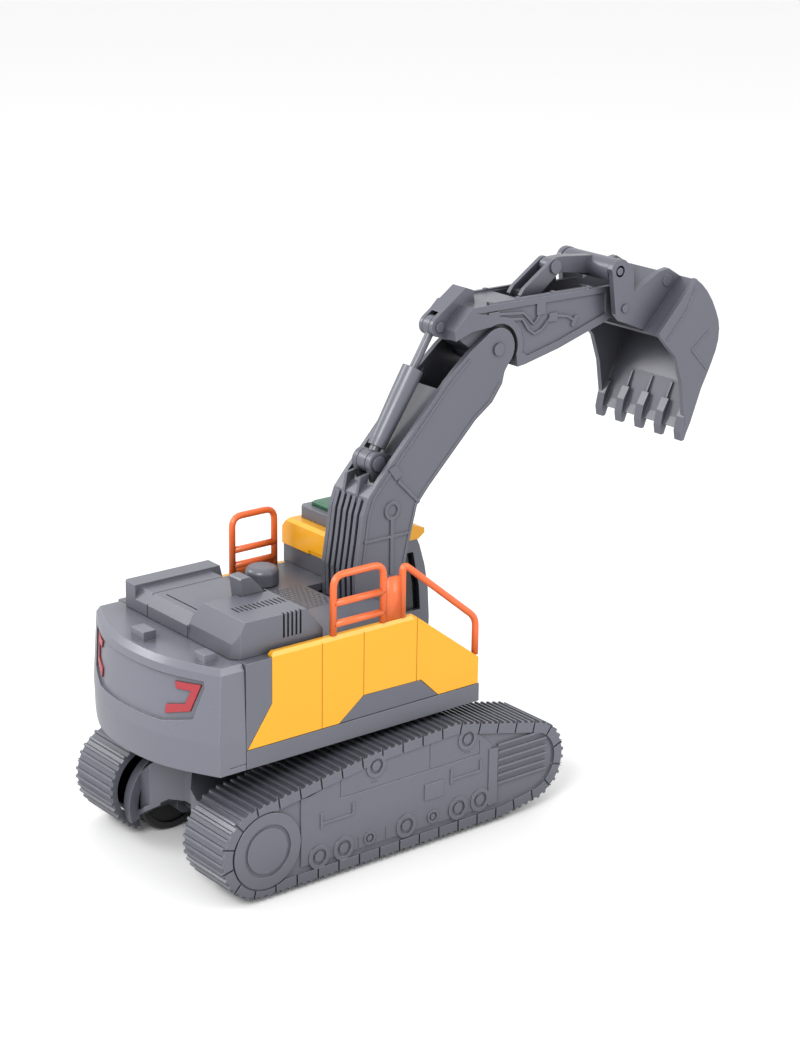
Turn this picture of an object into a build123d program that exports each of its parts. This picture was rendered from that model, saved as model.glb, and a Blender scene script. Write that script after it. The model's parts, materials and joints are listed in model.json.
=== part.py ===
"""Toy excavator, built in millimetres.

Every dimension is written in a working frame with its origin on the ground under the
slew axis: +X points forward along the arm, +Y to the cab side and +Z up. save() moves
each piece along X so that the stored origin is the bottom centre of the whole toy.
"""

from build123d import *
from math import cos, radians, sin, hypot
import os

os.makedirs("parts", exist_ok=True)

# Stored origin
FRAME_SHIFT = -43.46

# Tracks and wheels
TRACK_OUTER = 48.5
TRACK_INNER = 24.0
PLATE_INNER = 45.6
REAR_ARC = (-63.3, 19.7, 17.9)
MID_ARC = (-12.0, 34.8, 10.4)
PEAK_ARC = (24.0, 36.6, 10.0)
FRONT_ARC = (61.8, 20.8, 16.6)
TOE_ARC = (47.0, 12.0, 10.2)
SHOES = 38
BARS_PER_SHOE = 3
BAR_HEIGHT = 0.9
BAND = 3.2
WHEEL_R = 14.5
WHEEL_X = (-55.5, 46.0)
WHEEL_IN = 21.5
WHEEL_OUT = 44.6
AXLE_R = 1.5
COVER_SCREWS = ((-31, 12), (-31, -12), (21, 0))

# House
FLOOR_Z = 49.0
FLOOR_T = 2.5
SKIRT_TOP = 56.0
PANEL_LOW = 56.3
HALF_W = 41.0
PANEL_T = 2.6
DECK_TOP = 88.5
DECK_T = 3.0
SPLIT_X = -65.2
HOUSE_FRONT = 41.0
CAB_IN = 13.4
CAB_FRONT = 61.0
CAB_REAR = 10.2
ROOF_Z = 95.6
POST_R = 9.0

# Arm pivots, (x, z)
BOOM_FOOT = (17.5, 73.0)
STICK_PIVOT = (72.9, 173.7)
CYL_FOOT = (20.0, 136.8)
ROD_END = (49.5, 184.2)
LEVER_FOOT = (97.0, 181.5)
LEVER_TOP = (106.2, 200.0)
TUBE = (129.5, 197.4)
BUCKET_PIVOT = (132.5, 182.5)
BOOM_HALF = 10.4
CORE_HALF = 7.9
BUCKET_HALF = 25.0
BUCKET_T = 2.2
RUN = 0.06


def block(x0, x1, y0, y1, z0, z1, mode=Mode.ADD):
    with Locations(((x0 + x1) / 2, (y0 + y1) / 2, (z0 + z1) / 2)):
        Box(x1 - x0, y1 - y0, z1 - z0, mode=mode)


def prism_y(points, y0, y1, mode=Mode.ADD):
    """Extrude an (x, z) outline from y0 to y1."""
    with BuildSketch(Plane.XZ.offset(-y1)) as outline:
        with BuildLine():
            Polyline(*points, close=True)
        make_face()
    extrude(outline.sketch, amount=y1 - y0, mode=mode)


def prism_z(points, z0, z1, mode=Mode.ADD):
    """Extrude an (x, y) outline from z0 to z1."""
    with BuildSketch(Plane.XY.offset(z0)) as outline:
        with BuildLine():
            Polyline(*points, close=True)
        make_face()
    extrude(outline.sketch, amount=z1 - z0, mode=mode)


def prism_x(points, x0, x1, mode=Mode.ADD):
    """Extrude a (y, z) outline from x0 to x1."""
    with BuildSketch(Plane.YZ.offset(x0)) as outline:
        with BuildLine():
            Polyline(*points, close=True)
        make_face()
    extrude(outline.sketch, amount=x1 - x0, mode=mode)


def rod_y(x, z, r, y0, y1, mode=Mode.ADD):
    with BuildSketch(Plane.XZ.offset(-y1)) as disc:
        with Locations((x, z)):
            Circle(r)
    extrude(disc.sketch, amount=y1 - y0, mode=mode)


def rod_z(x, y, r, z0, z1, mode=Mode.ADD):
    with BuildSketch(Plane.XY.offset(z0)) as disc:
        with Locations((x, y)):
            Circle(r)
    extrude(disc.sketch, amount=z1 - z0, mode=mode)


def both_sides(low, high):
    """The same span on the right and on the left of the centre plane."""
    return ((-high, -low), (low, high))


def arc(centre, r, a0, a1, n):
    """Points on a circle in the side view, from angle a0 to a1 in degrees."""
    steps = [a0 + (a1 - a0) * i / n for i in range(n + 1)]
    return [(centre[0] + r * cos(radians(a)), centre[1] + r * sin(radians(a))) for a in steps]


def ribbon(points, width):
    """Outline of a strip of even width along a line in the side view."""
    upper, lower = [], []
    last = len(points) - 1
    for i, (x, z) in enumerate(points):
        a, b = points[max(i - 1, 0)], points[min(i + 1, last)]
        size = hypot(b[0] - a[0], b[1] - a[1])
        nx, nz = -(b[1] - a[1]) / size * width / 2, (b[0] - a[0]) / size * width / 2
        upper.append((x + nx, z + nz))
        lower.append((x - nx, z - nz))
    return upper + lower[::-1]


def save(piece, name):
    piece.part.label = name
    export_step(Pos(FRAME_SHIFT, 0, 0) * piece.part, "parts/" + name + ".step")


# ---------------------------------------------------------------- track outline


def hull_point(angle, inset):
    """Point of the belt outline whose outward normal points along angle."""
    nx, nz = cos(radians(angle)), sin(radians(angle))
    arcs = (REAR_ARC, MID_ARC, PEAK_ARC, FRONT_ARC, TOE_ARC)
    x, z, r = max(arcs, key=lambda c: c[0] * nx + c[1] * nz + c[2])
    return (x + (r - inset) * nx, z + (r - inset) * nz)


def belt_path(inset, step=3.0):
    """Closed outline of the belt, set inside the bar tips by inset."""
    points = []
    angle = 0.0
    while angle < 360.0:
        here = hull_point(angle, inset)
        if not points or hypot(here[0] - points[-1][0], here[1] - points[-1][1]) > 0.4:
            points.append(here)
        angle += step
    return points


def walk(path, count, offsets):
    """Points spread evenly along the closed path, pushed outwards by the offsets in turn."""
    size = len(path)
    lengths = []
    for i in range(size):
        a, b = path[i], path[(i + 1) % size]
        lengths.append(hypot(b[0] - a[0], b[1] - a[1]))
    total = sum(lengths)
    result = []
    index, start = 0, 0.0
    for i in range(count):
        for share, push in offsets:
            target = total * (i + share) / count
            while target > start + lengths[index] and index < size - 1:
                start += lengths[index]
                index += 1
            a, b = path[index], path[(index + 1) % size]
            t = (target - start) / lengths[index]
            dx = (b[0] - a[0]) / lengths[index]
            dz = (b[1] - a[1]) / lengths[index]
            px = a[0] + (b[0] - a[0]) * t + dz * push
            pz = a[1] + (b[1] - a[1]) * t - dx * push
            result.append((px, pz))
    return result


def shoe_outline():
    """Belt outline with three low bars on every shoe."""
    bar = [(0.26, 0.0), (0.36, BAR_HEIGHT), (0.64, BAR_HEIGHT), (0.74, 0.0)]
    return walk(belt_path(BAR_HEIGHT), SHOES * BARS_PER_SHOE, bar)


# Roller bosses on the side plate: x, z, outer radius
ROLLERS = (
    (-38.8, 10.6, 4.6),
    (-27.7, 10.8, 4.6),
    (-15.9, 11.4, 2.6),
    (1.1, 11.4, 4.6),
    (13.8, 11.6, 2.6),
    (26.0, 11.6, 4.6),
    (36.7, 12.0, 4.6),
    (-13.2, 39.2, 4.4),
    (29.9, 38.6, 4.4),
)
HUB = (-61.4, 19.5)
RIM = 4.6
SLOT_DEPTH = 0.8

# Raised bars on the side plate: x0, x1, z0, z1
PLATE_BARS = (
    (-38.2, -37.2, 21.4, 27.5),
    (-37.3, -23.9, 22.8, 23.6),
    (-24.0, -23.0, 23.0, 27.5),
    (21.9, 22.9, 22.3, 28.5),
    (22.8, 36.3, 23.6, 24.4),
    (36.2, 37.2, 24.0, 28.6),
    (9.7, 18.5, 19.0, 25.3),
    (40.7, 44.9, 8.6, 31.5),
)
# Fine joint lines cut into the side plate
PLATE_LINES = (
    (-29.5, -29.0, 31.0, 38.4),
    (-29.5, 36.1, 30.7, 31.2),
    (35.7, 36.2, 31.0, 36.8),
    (11.8, 12.3, 31.0, 41.4),
    (-21.3, -20.8, 8.6, 13.2),
    (-8.7, -8.2, 8.6, 13.6),
    (-15.4, -12.4, 32.4, 33.4),
    (28.4, 31.4, 32.4, 33.4),
    (10.7, 17.5, 20.0, 20.5),
)


def shoe_gaps():
    """Four-sided outlines of the narrow gaps between neighbouring links."""
    corners = [(0.46, 1.2), (0.54, 1.2), (0.54, -RIM), (0.46, -RIM)]
    points = walk(belt_path(BAR_HEIGHT), SHOES, corners)
    return [points[i : i + 4] for i in range(0, len(points), 4)]


def track(side):
    """One moulded track shell, open on the inboard side; side is -1 right, +1 left."""

    def span(low, high):
        return (low, high) if side > 0 else (-high, -low)

    face = span(TRACK_OUTER - 1.1, TRACK_OUTER - 0.1)
    low_face = span(TRACK_OUTER - 1.1, TRACK_OUTER - 0.5)
    groove = span(TRACK_OUTER - 0.7, TRACK_OUTER + 1)
    with BuildPart() as shell:
        prism_y(shoe_outline(), *span(TRACK_INNER, TRACK_OUTER))
        cavity = span(TRACK_INNER - 1, PLATE_INNER)
        prism_y(belt_path(BAND), cavity[0], cavity[1], mode=Mode.SUBTRACT)
        pocket = span(TRACK_OUTER - 1.0, TRACK_OUTER + 1)
        prism_y(belt_path(RIM), pocket[0], pocket[1], mode=Mode.SUBTRACT)
        # Gaps between the links, cut into the rim
        gap = span(TRACK_OUTER - SLOT_DEPTH, TRACK_OUTER + 1)
        with BuildSketch(Plane.XZ.offset(-gap[1])) as gaps:
            for outline in shoe_gaps():
                with BuildLine():
                    Polyline(*outline, close=True)
                make_face()
        extrude(gaps.sketch, amount=gap[1] - gap[0], mode=Mode.SUBTRACT)
        # Slots in the ground run for the freewheels
        for x in WHEEL_X:
            block(x - 13, x + 13, cavity[0], cavity[1], 0, 8, mode=Mode.SUBTRACT)
        # Hub rings
        rod_y(HUB[0], HUB[1], 15.0, groove[0], groove[1], mode=Mode.SUBTRACT)
        rod_y(HUB[0], HUB[1], 14.3, *face)
        rod_y(HUB[0], HUB[1], 10.0, groove[0], groove[1], mode=Mode.SUBTRACT)
        rod_y(HUB[0], HUB[1], 8.6, *span(TRACK_OUTER - 1.1, TRACK_OUTER - 0.2))
        # Raised side plate
        plate = [(-46.6, 8.6), (42.0, 8.2), (42.0, 33.0), (36.3, 38.4), (30.0, 41.8), (-8.3, 41.6)]
        plate += [(-17.9, 40.6), (-29.9, 38.4), (-43.3, 35.1), (-46.6, 35.1)]
        prism_y(plate, *low_face)
        for x0, x1, z0, z1 in PLATE_LINES:
            block(x0, x1, groove[0], groove[1], z0, z1, mode=Mode.SUBTRACT)
        for x0, x1, z0, z1 in PLATE_BARS:
            block(x0, x1, *face, z0, z1)
        for x, z, r in ROLLERS:
            rod_y(x, z, r, *face)
            rod_y(x, z, r * 0.68, groove[0], groove[1], mode=Mode.SUBTRACT)
            rod_y(x, z, r * 0.42, *span(TRACK_OUTER - 0.9, TRACK_OUTER - 0.2))
        # Ribs in front of the plate
        for i in range(6):
            z = 16.0 + 3.15 * i
            block(45.2, 69.5, *face, z, z + 0.9)
    return shell


track_right = track(-1)
track_left = track(1)

# ---------------------------------------------------------------- chassis

with BuildPart() as chassis_frame:
    block(-46, 34, -20.6, 20.6, 7.5, 44)
    block(-39.8, 30.8, -45.3, 45.3, 9, 31)
    for low, high in both_sides(22.6, 43.3):
        block(-37.8, 28.8, low, high, 5, 29, mode=Mode.SUBTRACT)
    # Rear and front arms with their sloping undersides
    arm = [(-20.6, 11), (-8, 20), (8, 20), (20.6, 11), (20.6, 27), (9, 37), (-9, 37), (-20.6, 27)]
    prism_x(arm, -70.5, -44)
    prism_x(arm, 32, 56)
    ledge = [(-20.6, 10), (-8, 19), (8, 19), (20.6, 10), (20.6, 12), (8, 21), (-8, 21), (-20.6, 12)]
    prism_x(ledge, -72, -68)
    prism_z([(-76, -20.4), (-62, -3), (-62, 3), (-76, 20.4)], 0, 60, mode=Mode.SUBTRACT)
    prism_z([(60, -16), (50, -3), (50, 3), (60, 16)], 0, 60, mode=Mode.SUBTRACT)
    # Curved guard round each rear wheel
    guard = arc((WHEEL_X[0], WHEEL_R), 20.3, 70, 198, 16)
    guard += arc((WHEEL_X[0], WHEEL_R), 16.4, 198, 70, 16)
    for low, high in both_sides(19.5, 23.5):
        prism_y(guard, low, high)
    # Hollow underside with three screw posts
    block(-36, 26, -17, 17, 5, 38, mode=Mode.SUBTRACT)
    for x, y in COVER_SCREWS:
        rod_z(x, y, 3.4, 10.2, 38.5)
        rod_z(x, y, 1.05, 9, 24, mode=Mode.SUBTRACT)
    # Axle bearings
    for x in WHEEL_X:
        for low, high in both_sides(12, 20.8):
            rod_y(x, WHEEL_R, 4.2, low, high)
        rod_y(x, WHEEL_R, AXLE_R + RUN, -25, 25, mode=Mode.SUBTRACT)
    # Slewing ring and post
    rod_z(0, 0, 23, 43, 48.5)
    rod_z(0, 0, POST_R, 48, 52.2)
    rod_z(0, 0, 1.35, 36, 53, mode=Mode.SUBTRACT)

with BuildPart() as chassis_cover:
    block(-35.7, 25.7, -16.7, 16.7, 7.6, 9.9)
    for x, y in COVER_SCREWS:
        rod_z(x, y, 1.3, 7, 11, mode=Mode.SUBTRACT)
        rod_z(x, y, 2.5, 7, 8.8, mode=Mode.SUBTRACT)
    for i in range(6):
        block(-22 + i * 6, -20 + i * 6, -7, 7, 7, 8.1, mode=Mode.SUBTRACT)


def screw(x, y, head_z, tip_z, head_r, shank_r, head_h):
    """Cross-head screw standing on the Z axis, head at head_z, thread towards tip_z."""
    up = 1 if tip_z > head_z else -1
    seat = head_z + up * head_h
    with BuildPart() as piece:
        rod_z(x, y, head_r, min(head_z, seat), max(head_z, seat))
        rod_z(x, y, shank_r, min(seat, tip_z), max(seat, tip_z))
        low = min(head_z, head_z + up * 0.8)
        for a, b in ((0.3, 1.4), (1.4, 0.3)):
            block(x - a, x + a, y - b, y + b, low, low + 0.8, mode=Mode.SUBTRACT)
    return piece


chassis_screws = {}
for tag, (x, y) in zip(("rl", "rr", "f"), COVER_SCREWS):
    chassis_screws["chassis_screw_" + tag] = screw(x, y, 7.7, 20, 2.3, 1.0, 1.05)

with BuildPart() as slew_collar:
    rod_z(0, 0, 11.2, 52.25, 54.2)
    rod_z(0, 0, 1.6, 52, 55, mode=Mode.SUBTRACT)

slew_screw = screw(0, 0, 56.0, 40, 3.2, 1.3, 1.75)


def axle(x):
    with BuildPart() as piece:
        rod_y(x, WHEEL_R, AXLE_R, -45.1, 45.1)
        chamfer(piece.edges().filter_by(GeomType.CIRCLE), 0.3)
    return piece


def wheel(x, side):
    """Freewheel hidden in the track, solid disc with a dished inner face."""
    low, high = (WHEEL_IN, WHEEL_OUT) if side > 0 else (-WHEEL_OUT, -WHEEL_IN)
    inner = WHEEL_IN * side
    with BuildPart() as piece:
        rod_y(x, WHEEL_R, WHEEL_R, low, high)
        chamfer(piece.edges().filter_by(GeomType.CIRCLE), 0.8)
        dish = (min(inner, inner + 1.0 * side), max(inner, inner + 1.0 * side))
        rod_y(x, WHEEL_R, 11.5, dish[0], dish[1], mode=Mode.SUBTRACT)
        rod_y(x, WHEEL_R, 3.4, *dish)
        rod_y(x, WHEEL_R, AXLE_R + 0.01, low - 1, high + 1, mode=Mode.SUBTRACT)
    return piece


# ---------------------------------------------------------------- house floor and skirt

FOOTPRINT = [
    (SPLIT_X + 0.15, -HALF_W),
    (HOUSE_FRONT, -HALF_W),
    (HOUSE_FRONT, CAB_IN - 0.4),
    (CAB_FRONT, CAB_IN - 0.4),
    (CAB_FRONT, HALF_W),
    (SPLIT_X + 0.15, HALF_W),
]
INSIDE = [
    (SPLIT_X + 2.6, -HALF_W + 2.4),
    (HOUSE_FRONT - 2.4, -HALF_W + 2.4),
    (HOUSE_FRONT - 2.4, CAB_IN + 2.0),
    (CAB_FRONT - 2.4, CAB_IN + 2.0),
    (CAB_FRONT - 2.4, HALF_W - 2.4),
    (SPLIT_X + 2.6, HALF_W - 2.4),
]
HOUSE_BOSSES = ((-56, -31), (-56, 31), (32, -31), (2, 31))
CHEEK_IN = 10.8
CHEEK_OUT = 12.9

with BuildPart() as house_base:
    prism_z(FOOTPRINT, FLOOR_Z, SKIRT_TOP)
    prism_z(INSIDE, FLOOR_Z + FLOOR_T, SKIRT_TOP + 1, mode=Mode.SUBTRACT)
    rod_z(0, 0, POST_R + RUN, FLOOR_Z - 1, 60, mode=Mode.SUBTRACT)
    # Battery opening
    block(-54, -26, -26, 26, FLOOR_Z - 1, 60, mode=Mode.SUBTRACT)
    # Cheeks carrying the boom foot pin
    cheek = [(4, 51.5), (31, 51.5), (31, 66), (25, 80), (10, 80), (4, 66)]
    for low, high in both_sides(CHEEK_IN, CHEEK_OUT):
        prism_y(cheek, low, high)
    rod_y(BOOM_FOOT[0], BOOM_FOOT[1], 2.02, -20, 20, mode=Mode.SUBTRACT)
    for x, y in HOUSE_BOSSES:
        rod_z(x, y, 1.5, FLOOR_Z - 1, 60, mode=Mode.SUBTRACT)
        rod_z(x, y, 2.6, FLOOR_Z - 1, FLOOR_Z + 1.3, mode=Mode.SUBTRACT)
    # Sound holes
    for i in range(3):
        for j in range(3):
            rod_z(-17 + 3 * i, 24 + 3 * j, 0.7, FLOOR_Z - 1, 60, mode=Mode.SUBTRACT)

with BuildPart() as battery_cover:
    block(-53.8, -26.2, -25.8, 25.8, FLOOR_Z + 0.1, FLOOR_Z + 2.0)
    rod_z(-40, 0, 1.3, FLOOR_Z - 1, FLOOR_Z + 4, mode=Mode.SUBTRACT)
    rod_z(-40, 0, 2.4, FLOOR_Z - 1, FLOOR_Z + 1.2, mode=Mode.SUBTRACT)
    for i in range(5):
        block(-50, -30, 12 + i * 2.2, 13 + i * 2.2, FLOOR_Z - 1, FLOOR_Z + 0.6, mode=Mode.SUBTRACT)

with BuildPart() as battery_box:
    block(-55.6, -24.4, -27.6, 27.6, 51.6, 66)
    block(-53.8, -26.2, -25.8, 25.8, 50, 64.4, mode=Mode.SUBTRACT)
    block(-41.2, -38.8, -24, 24, 51.6, 64.6)
    rod_z(-40, 0, 1.0, 50, 60, mode=Mode.SUBTRACT)

battery_screw = screw(-40, 0, FLOOR_Z + 0.15, 58, 2.2, 0.95, 1.0)


def cell(x):
    """AAA cell lying across the toy."""
    with BuildPart() as piece:
        rod_y(x, 58.4, 5.1, -22.2, 22.0)
        rod_y(x, 58.4, 1.9, 21.9, 23.0)
    return piece


with BuildPart() as sound_board:
    block(-22, 2, -34, -16, 54, 55.6)
    for x in (-20, 0):
        for y in (-32, -18):
            rod_z(x, y, 1.4, 51.55, 54.1)
    block(-16, -8, -30, -24, 55.5, 57.5)
    block(-6, -2, -30, -22, 55.5, 58.5)
    rod_z(-14, -20, 1.8, 55.5, 60.5)

with BuildPart() as speaker:
    rod_z(-14, 27, 8.0, 51.6, 53.2)
    rod_z(-14, 27, 5.2, 53.1, 56.4)

# ---------------------------------------------------------------- counterweight

REAR_X = -65.35
REAR_CORNER = (-76.3, -41.0)
REAR_CURVE = ((-81.6, -31.4), (-86.0, -21.5), (-88.6, -10.0), (-89.2, 0.0))
REAR_LEVELS = ((49.0, 0.985, 1.0), (61.0, 1.02, 1.0), (86.2, 0.885, 0.985), (88.4, 0.81, 0.95))


def rear_solid(grow):
    """Loft through the plan at each level; grow pushes the outline outwards."""
    for z, kx, ky in REAR_LEVELS:

        def place(x, y):
            push = grow if x < REAR_X - 8 else 0
            return (REAR_X + (x - REAR_X) * kx - push, y * ky - (grow if y < 0 else -grow if y > 0 else 0))

        right = [place(*REAR_CORNER)] + [place(x, y) for x, y in REAR_CURVE]
        left = [place(x, -y) for x, y in reversed(((REAR_CORNER,) + REAR_CURVE)[:-1])]
        start = place(REAR_X, REAR_CORNER[1])
        end = place(REAR_X, -REAR_CORNER[1])
        with BuildSketch(Plane.XY.offset(z)) as level:
            with BuildLine():
                Line(start, right[0])
                Spline(*(right + left))
                Line(left[-1], end)
                Line(end, start)
            make_face()
        yield level.sketch


def rear_window(outline, depth):
    """Blank of the given (y, z) outline reaching depth inside the rear surface."""
    with BuildPart() as blank:
        prism_x(outline, -95, -71)
        loft(list(rear_solid(-depth)), ruled=True, mode=Mode.SUBTRACT)
    return blank.part


BAND_DEPTH = 0.8
BAND_WINDOW = [(-20.0, 66.2), (20.0, 66.2), (31.6, 69.0), (34.9, 80.6), (34.6, 83.3), (-34.6, 83.3)]
BAND_WINDOW += [(-34.9, 80.6), (-31.6, 69.0)]

with BuildPart() as counterweight:
    loft(list(rear_solid(0.0)), ruled=True)
    room = [(-64, -38.2), (-72.5, -37.6), (-79.5, -22), (-82.0, 0), (-79.5, 22), (-72.5, 37.6), (-64, 38.2)]
    prism_z(room, 51.6, 84.4, mode=Mode.SUBTRACT)
    # Sunk band across the rear
    add(rear_window(BAND_WINDOW, BAND_DEPTH), mode=Mode.SUBTRACT)
    block(-81.5, -76.3, -1.8, 6.2, 88.0, 92.0)
    block(-76.8, -72.2, -32.8, -26.9, 88.0, 92.0)
    # Sunk line near the floor
    block(-72.0, REAR_X + 0.01, -42.0, -40.7, 51.0, 51.5, mode=Mode.SUBTRACT)

# Bracket-shaped lamps lying in the band
LAMP_OUT = 0.45
LAMP = [(20.6, 68.9), (29.9, 71.4), (33.2, 81.6), (23.6, 81.2), (24.2, 78.6), (29.8, 78.8)]
LAMP += [(28.0, 73.8), (20.8, 72.2)]


def lamp(side):
    outline = [(y * side, z) for y, z in LAMP]
    with BuildPart() as piece:
        add(rear_window(outline, BAND_DEPTH))
        loft(list(rear_solid(LAMP_OUT - BAND_DEPTH)), ruled=True, mode=Mode.INTERSECT)
    return piece


taillight_right = lamp(-1)
taillight_left = lamp(1)

# ---------------------------------------------------------------- deck and inner walls

BOOM_SLOT = (-1.0, 37.5)

with BuildPart() as deck:
    # Top plate
    top = [(SPLIT_X + 0.15, -38.2), (11.0, -38.2), (11.0, 12.7), (9.9, 12.7), (9.9, 38.2)]
    top += [(SPLIT_X + 0.15, 38.2)]
    prism_z(top, DECK_TOP - DECK_T, DECK_TOP)
    # Sloping step beside the boom
    step = [(10.5, DECK_TOP), (39.0, 66.6), (39.0, 63.6), (10.5, DECK_TOP - DECK_T)]
    prism_y(step, -38.2, -13.2)
    # Side walls behind the panels
    wall_right = [(-64.8, 56.2), (38.4, 56.2), (38.4, 65.2), (10.5, 86.5), (-64.8, 86.5)]
    prism_y(wall_right, -38.2, -36.0)
    block(-64.8, 9.9, 36.0, 38.2, 56.2, 86.5)
    # Flush strips between the counterweight and the panels
    strip = [(SPLIT_X + 0.15, 56.2), (-64.9, 56.2), (-54.2, 71.4), (-54.2, DECK_TOP)]
    strip += [(SPLIT_X + 0.15, DECK_TOP)]
    for low, high in both_sides(38.0, HALF_W):
        prism_y(strip, low, high)
    # Front wall and the wall beside the boom bay
    block(36.2, 38.4, -38.2, 12.7, 56.2, 65.0)
    block(7.9, 9.9, 13.2, 38.2, 56.2, 86.5)
    # Opening for the boom
    block(*BOOM_SLOT, -CHEEK_IN - 0.1, CHEEK_IN + 0.1, 60, 95, mode=Mode.SUBTRACT)
    for x, y in HOUSE_BOSSES:
        rod_z(x, y, 3.2, 51.6, 69.4 if x > 20 else 86.0)
        rod_z(x, y, 1.2, 50, 64, mode=Mode.SUBTRACT)
    # Anti-slip diamonds
    spots = []
    for i in range(11):
        for j in range(12):
            spots.append((-25.4 + 2.1 * i + 1.05 * (j % 2), -8.2 + 1.9 * j))
    with BuildSketch(Plane.XY.offset(DECK_TOP - 0.2)) as tread:
        with Locations(*[(x, y) for x, y in spots if x < BOOM_SLOT[0] - 0.9]):
            RegularPolygon(0.75, 4)
    extrude(tread.sketch, amount=0.6)

house_screws = {}
for tag, (x, y) in zip(("rr", "rl", "fr", "fl"), HOUSE_BOSSES):
    house_screws["house_screw_" + tag] = screw(x, y, FLOOR_Z + 0.1, 62, 2.4, 1.15, 1.15)

# ---------------------------------------------------------------- hood

HOOD_Z = DECK_TOP + 0.1

HOOD_REAR = -66.8
HOOD_FRONT = -28.7
RIGHT_TOP = 101.8
CENTRE_TOP = 97.0
LEFT_TOP = 98.4

with BuildPart() as hood:
    right = [(HOOD_REAR, HOOD_Z), (-66.2, 94.0), (-62.2, RIGHT_TOP), (-36.0, RIGHT_TOP - 0.4)]
    right += [(HOOD_FRONT - 0.1, 92.5), (HOOD_FRONT, HOOD_Z)]
    prism_y(right, -36.5, -8.0)
    flare = [(-8.0, CENTRE_TOP), (-7.0, 103.0), (-11.6, 103.0), (-11.2, RIGHT_TOP)]
    prism_x(flare, -70, -20, mode=Mode.SUBTRACT)
    centre = [(HOOD_REAR, HOOD_Z), (HOOD_REAR, 93.0), (-64.0, CENTRE_TOP), (-33.6, CENTRE_TOP)]
    centre += [(HOOD_FRONT - 1.0, 92.0), (HOOD_FRONT - 0.6, HOOD_Z)]
    prism_y(centre, -8.2, 26.6)
    ridge = [(HOOD_REAR, HOOD_Z), (HOOD_REAR, LEFT_TOP), (-29.6, LEFT_TOP), (-27.2, HOOD_Z)]
    prism_y(ridge, 26.5, 34.4)
    # Rear corners
    prism_z([(-67.5, -32.8), (-67.5, -37.5), (-63.2, -37.5)], 88, 103, mode=Mode.SUBTRACT)
    prism_z([(-67.5, 32.2), (-67.5, 35.5), (-64.6, 35.5)], 88, 103, mode=Mode.SUBTRACT)
    prism_x([(34.0, 99.0), (35.0, 99.0), (35.0, 95.6)], -70, -20, mode=Mode.SUBTRACT)
    # Joint lines between the hood doors
    for y in (-7.9, 18.3):
        block(-70, -27, y, y + 0.5, CENTRE_TOP - 0.6, 99, mode=Mode.SUBTRACT)
        block(HOOD_REAR - 1, HOOD_REAR + 0.5, y, y + 0.5, 88, 93.4, mode=Mode.SUBTRACT)
    block(-61.2, -60.4, -8.3, 14.9, CENTRE_TOP - 0.8, 99, mode=Mode.SUBTRACT)
    # Cooling slots on the top and louvres on the right flank
    for i in range(13):
        x = -58.0 + 1.8 * i
        block(x, x + 0.9, -26.6, -21.4, RIGHT_TOP - 1.4, 103, mode=Mode.SUBTRACT)
    for i in range(5):
        x = -46.1 + 1.8 * i
        block(x, x + 0.9, -38.0, -35.2, 92.5, 103.0, mode=Mode.SUBTRACT)
    for i in range(6):
        x = -44.0 + 1.7 * i
        block(x, x + 0.8, -5.6, -1.8, CENTRE_TOP - 1.0, 98.0, mode=Mode.SUBTRACT)
    # Seat for the exhaust
    block(-48.4, -36.3, -13.7, -6.0, CENTRE_TOP - 0.3, 104, mode=Mode.SUBTRACT)
    # Hollow inside
    block(-63.0, -33.0, -32.0, 31.0, 88, 93.2, mode=Mode.SUBTRACT)

with BuildPart() as exhaust_stack:
    fin = [(-46.6, 96.8), (-48.0, 108.0), (-43.6, 108.2), (-38.4, 102.4), (-36.9, 99.4), (-36.9, 96.8)]
    prism_y(fin, -13.3, -6.4)
    chamfer(exhaust_stack.edges().filter_by(Axis.Y), 0.5)

with BuildPart() as filler_cap:
    rod_z(-12.6, 23.4, 6.4, 89.05, 95.6)
    fillet(filler_cap.faces().sort_by(Axis.Z)[-1].edges(), 2.4)

# ---------------------------------------------------------------- side panels and inserts

PANEL_RIGHT = [(-54.0, 89.2), (-52.8, 90.2), (9.5, 90.0), (40.4, 66.8), (40.4, PANEL_LOW)]
PANEL_RIGHT += [(21.2, PANEL_LOW), (12.9, 64.2), (-13.7, 64.6), (-24.7, PANEL_LOW)]
PANEL_RIGHT += [(-64.5, PANEL_LOW), (-54.0, 71.3)]
PANEL_LEFT = [(-54.0, 88.2), (9.5, 88.2), (9.5, 64.3), (-13.7, 64.6)]
PANEL_LEFT += [(-24.7, PANEL_LOW), (-64.5, PANEL_LOW), (-54.0, 71.3)]
INSERT_RIGHT = [(-24.4, PANEL_LOW), (-13.6, 64.4), (12.8, 64.0), (20.9, PANEL_LOW)]
INSERT_LEFT = [(-24.4, PANEL_LOW), (-13.6, 64.4), (9.5, 64.1), (9.5, PANEL_LOW)]


def panel(outline, side):
    low, high = (38.4, HALF_W) if side > 0 else (-HALF_W, -38.4)
    with BuildPart() as piece:
        prism_y(outline, low, high)
        lip = (HALF_W * side, 91.0), (HALF_W * side, 88.6), ((HALF_W - 1.4) * side, 91.0)
        prism_x(list(lip), -60, 9.5, mode=Mode.SUBTRACT)
        skin = HALF_W * side
        for x in (-32.4, -13.8, 10.6):
            if x < 9.0 or side < 0:
                block(x, x + 0.35, skin - 0.25, skin + 0.25, 50, 95, mode=Mode.SUBTRACT)
    return piece


panel_right = panel(PANEL_RIGHT, -1)
panel_left = panel(PANEL_LEFT, 1)

with BuildPart() as insert_right:
    prism_y(INSERT_RIGHT, -40.9, -38.4)

with BuildPart() as insert_left:
    prism_y(INSERT_LEFT, 38.4, 40.9)

# ---------------------------------------------------------------- handrails

RAIL_IN = 38.5
RAIL_OUT = 40.7


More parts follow.
